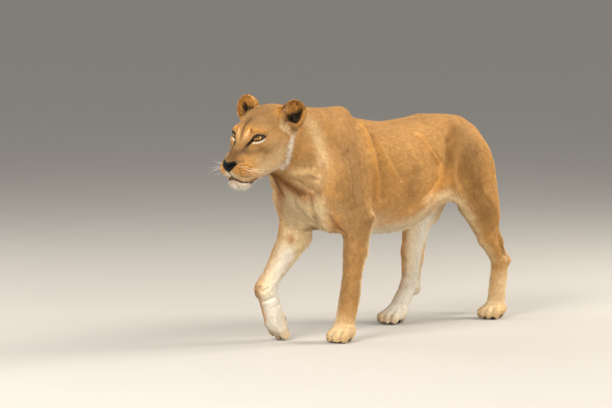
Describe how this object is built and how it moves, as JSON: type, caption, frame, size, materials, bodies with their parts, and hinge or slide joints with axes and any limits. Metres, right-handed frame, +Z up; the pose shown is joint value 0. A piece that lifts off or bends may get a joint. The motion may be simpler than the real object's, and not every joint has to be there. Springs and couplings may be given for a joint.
{
  "type": "lioness",
  "caption": "Life-size walking lioness, a still model with her head turned slightly to her left and the tail hanging.",
  "frame": {"origin": "on the floor, under the middle of the bounding box", "axes": "-Y the way she walks and faces, +X her left side, +Z up"},
  "size_m": [0.3912, 1.6568, 0.9599],
  "materials": {
    "coat": "matte",
    "eye": "gloss"
  },
  "bodies": {
    "root": {"head": "coat", "ear_left": "coat", "ear_right": "coat", "neck": "coat", "trunk": "coat", "foreleg_left": "coat", "foreleg_right": "coat", "hindleg_left": "coat", "hindleg_right": "coat", "tail": "coat", "eye_left": "eye", "eye_right": "eye"}
  },
  "joints": []
}
